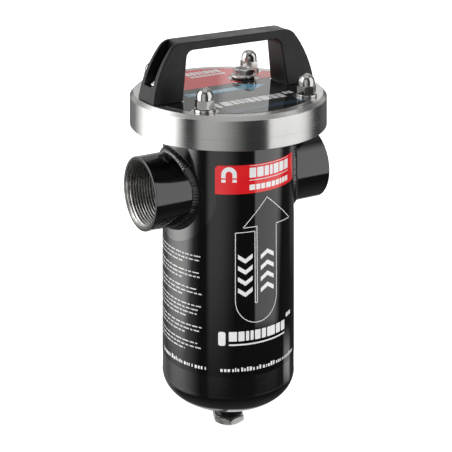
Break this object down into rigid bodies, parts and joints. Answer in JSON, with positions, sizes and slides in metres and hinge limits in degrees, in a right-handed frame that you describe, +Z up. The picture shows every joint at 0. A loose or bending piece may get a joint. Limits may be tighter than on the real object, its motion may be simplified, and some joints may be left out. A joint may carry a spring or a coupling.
{
  "type": "magnetic system filter",
  "caption": "Upright magnetic filter for a heating circuit: black steel vessel with threaded side ports, bolted steel lid with bridge handle, vent and lift-out magnetic core, bottom drain.",
  "frame": {"origin": "centre of the drain plug's lowest face, on the vessel's axis", "axes": "+Z up along the vessel's axis; X along the two ports, inlet at -X and outlet at +X; -Y is the labelled front"},
  "size_m": [0.154, 0.1524, 0.2977],
  "materials": {
    "vessel_paint": "gloss black coating",
    "turned_steel": "turned, fine circular marks",
    "bright_steel": "polished",
    "bare_steel": "as machined",
    "port_thread": "as machined thread",
    "handle_plastic": "fine moulded grain",
    "label_film": "printed gloss film",
    "seal_rubber": "matt",
    "magnet_metal": "nickel plated",
    "pole_steel": "plain mild steel"
  },
  "bodies": {
    "filter_body": {"body_tube": "vessel_paint", "dished_end": "vessel_paint", "inlet_socket": "vessel_paint", "outlet_socket": "vessel_paint", "inlet_weld": "vessel_paint", "outlet_weld": "vessel_paint", "body_flange": "turned_steel", "flow_divider": "bare_steel", "lid_seal": "seal_rubber", "drain_socket": "vessel_paint", "body_label": "label_film", "stud_1": "bright_steel", "stud_2": "bright_steel", "stud_3": "bright_steel", "stud_4": "bright_steel"},
    "lid_assembly": {"lid": "turned_steel", "lid_label": "label_film", "handle": "handle_plastic", "handle_screw_1": "bright_steel", "handle_screw_2": "bright_steel", "core_spigot": "bare_steel", "core_tube": "bright_steel", "core_end_plug": "bare_steel", "magnet_1": "magnet_metal", "magnet_2": "magnet_metal", "magnet_3": "magnet_metal", "magnet_4": "magnet_metal", "magnet_5": "magnet_metal", "pole_piece_1": "pole_steel", "pole_piece_2": "pole_steel", "pole_piece_3": "pole_steel", "pole_piece_4": "pole_steel", "pole_piece_5": "pole_steel", "pole_piece_6": "pole_steel"},
    "washer_1": {"washer_1": "bright_steel"},
    "washer_2": {"washer_2": "bright_steel"},
    "washer_3": {"washer_3": "bright_steel"},
    "washer_4": {"washer_4": "bright_steel"},
    "nut_1": {"dome_nut_1": "bright_steel"},
    "nut_2": {"dome_nut_2": "bright_steel"},
    "nut_3": {"dome_nut_3": "bright_steel"},
    "nut_4": {"dome_nut_4": "bright_steel"},
    "vent_seal": {"vent_seal": "seal_rubber"},
    "vent_plug": {"vent_plug": "bright_steel"},
    "bleed_screw": {"bleed_screw": "bare_steel"},
    "drain_seal": {"drain_seal": "seal_rubber"},
    "drain_plug": {"drain_plug": "bright_steel"}
  },
  "joints": [
    {"name": "lid_lift", "type": "slide", "parent": "filter_body", "child": "lid_assembly", "axis": [0, 0, 1], "range_m": [0, 0.2]},
    {"name": "nut_1_rise", "type": "slide", "parent": "lid_assembly", "child": "washer_1", "axis": [0, 0, 1], "range_m": [0, 0.01125]},
    {"name": "nut_1_turn", "type": "hinge", "parent": "washer_1", "child": "nut_1", "pos_m": [0.04534, 0.04228, 0.2567], "axis": [0, 0, 1], "range_deg": [0, 3240]},
    {"name": "nut_2_rise", "type": "slide", "parent": "lid_assembly", "child": "washer_2", "axis": [0, 0, 1], "range_m": [0, 0.01125]},
    {"name": "nut_2_turn", "type": "hinge", "parent": "washer_2", "child": "nut_2", "pos_m": [-0.04228, 0.04534, 0.2567], "axis": [0, 0, 1], "range_deg": [0, 3240]},
    {"name": "nut_3_rise", "type": "slide", "parent": "lid_assembly", "child": "washer_3", "axis": [0, 0, 1], "range_m": [0, 0.01125]},
    {"name": "nut_3_turn", "type": "hinge", "parent": "washer_3", "child": "nut_3", "pos_m": [-0.04534, -0.04228, 0.2567], "axis": [0, 0, 1], "range_deg": [0, 3240]},
    {"name": "nut_4_rise", "type": "slide", "parent": "lid_assembly", "child": "washer_4", "axis": [0, 0, 1], "range_m": [0, 0.01125]},
    {"name": "nut_4_turn", "type": "hinge", "parent": "washer_4", "child": "nut_4", "pos_m": [0.04228, -0.04534, 0.2567], "axis": [0, 0, 1], "range_deg": [0, 3240]},
    {"name": "vent_rise", "type": "slide", "parent": "lid_assembly", "child": "vent_seal", "axis": [0, 0, 1], "range_m": [0, 0.00936]},
    {"name": "vent_turn", "type": "hinge", "parent": "vent_seal", "child": "vent_plug", "pos_m": [0.029, 0.025, 0.2558], "axis": [0, 0, 1], "range_deg": [0, 2520]},
    {"name": "bleed_turn", "type": "hinge", "parent": "vent_plug", "child": "bleed_screw", "pos_m": [0.029, 0.025, 0.26], "axis": [0, 0, 1], "range_deg": [0, 360]},
    {"name": "drain_drop", "type": "slide", "parent": "filter_body", "child": "drain_seal", "axis": [0, 0, -1], "range_m": [0, 0.01203]},
    {"name": "drain_turn", "type": "hinge", "parent": "drain_seal", "child": "drain_plug", "pos_m": [0, 0, 0.005], "axis": [0, 0, -1], "range_deg": [0, 3240]}
  ],
  "couplings": [
    {"joint": "nut_1_rise", "follows": "nut_1_turn", "m_per_rad": 0.00019894},
    {"joint": "nut_2_rise", "follows": "nut_2_turn", "m_per_rad": 0.00019894},
    {"joint": "nut_3_rise", "follows": "nut_3_turn", "m_per_rad": 0.00019894},
    {"joint": "nut_4_rise", "follows": "nut_4_turn", "m_per_rad": 0.00019894},
    {"joint": "vent_rise", "follows": "vent_turn", "m_per_rad": 0.00021279},
    {"joint": "drain_drop", "follows": "drain_turn", "m_per_rad": 0.00021279}
  ]
}
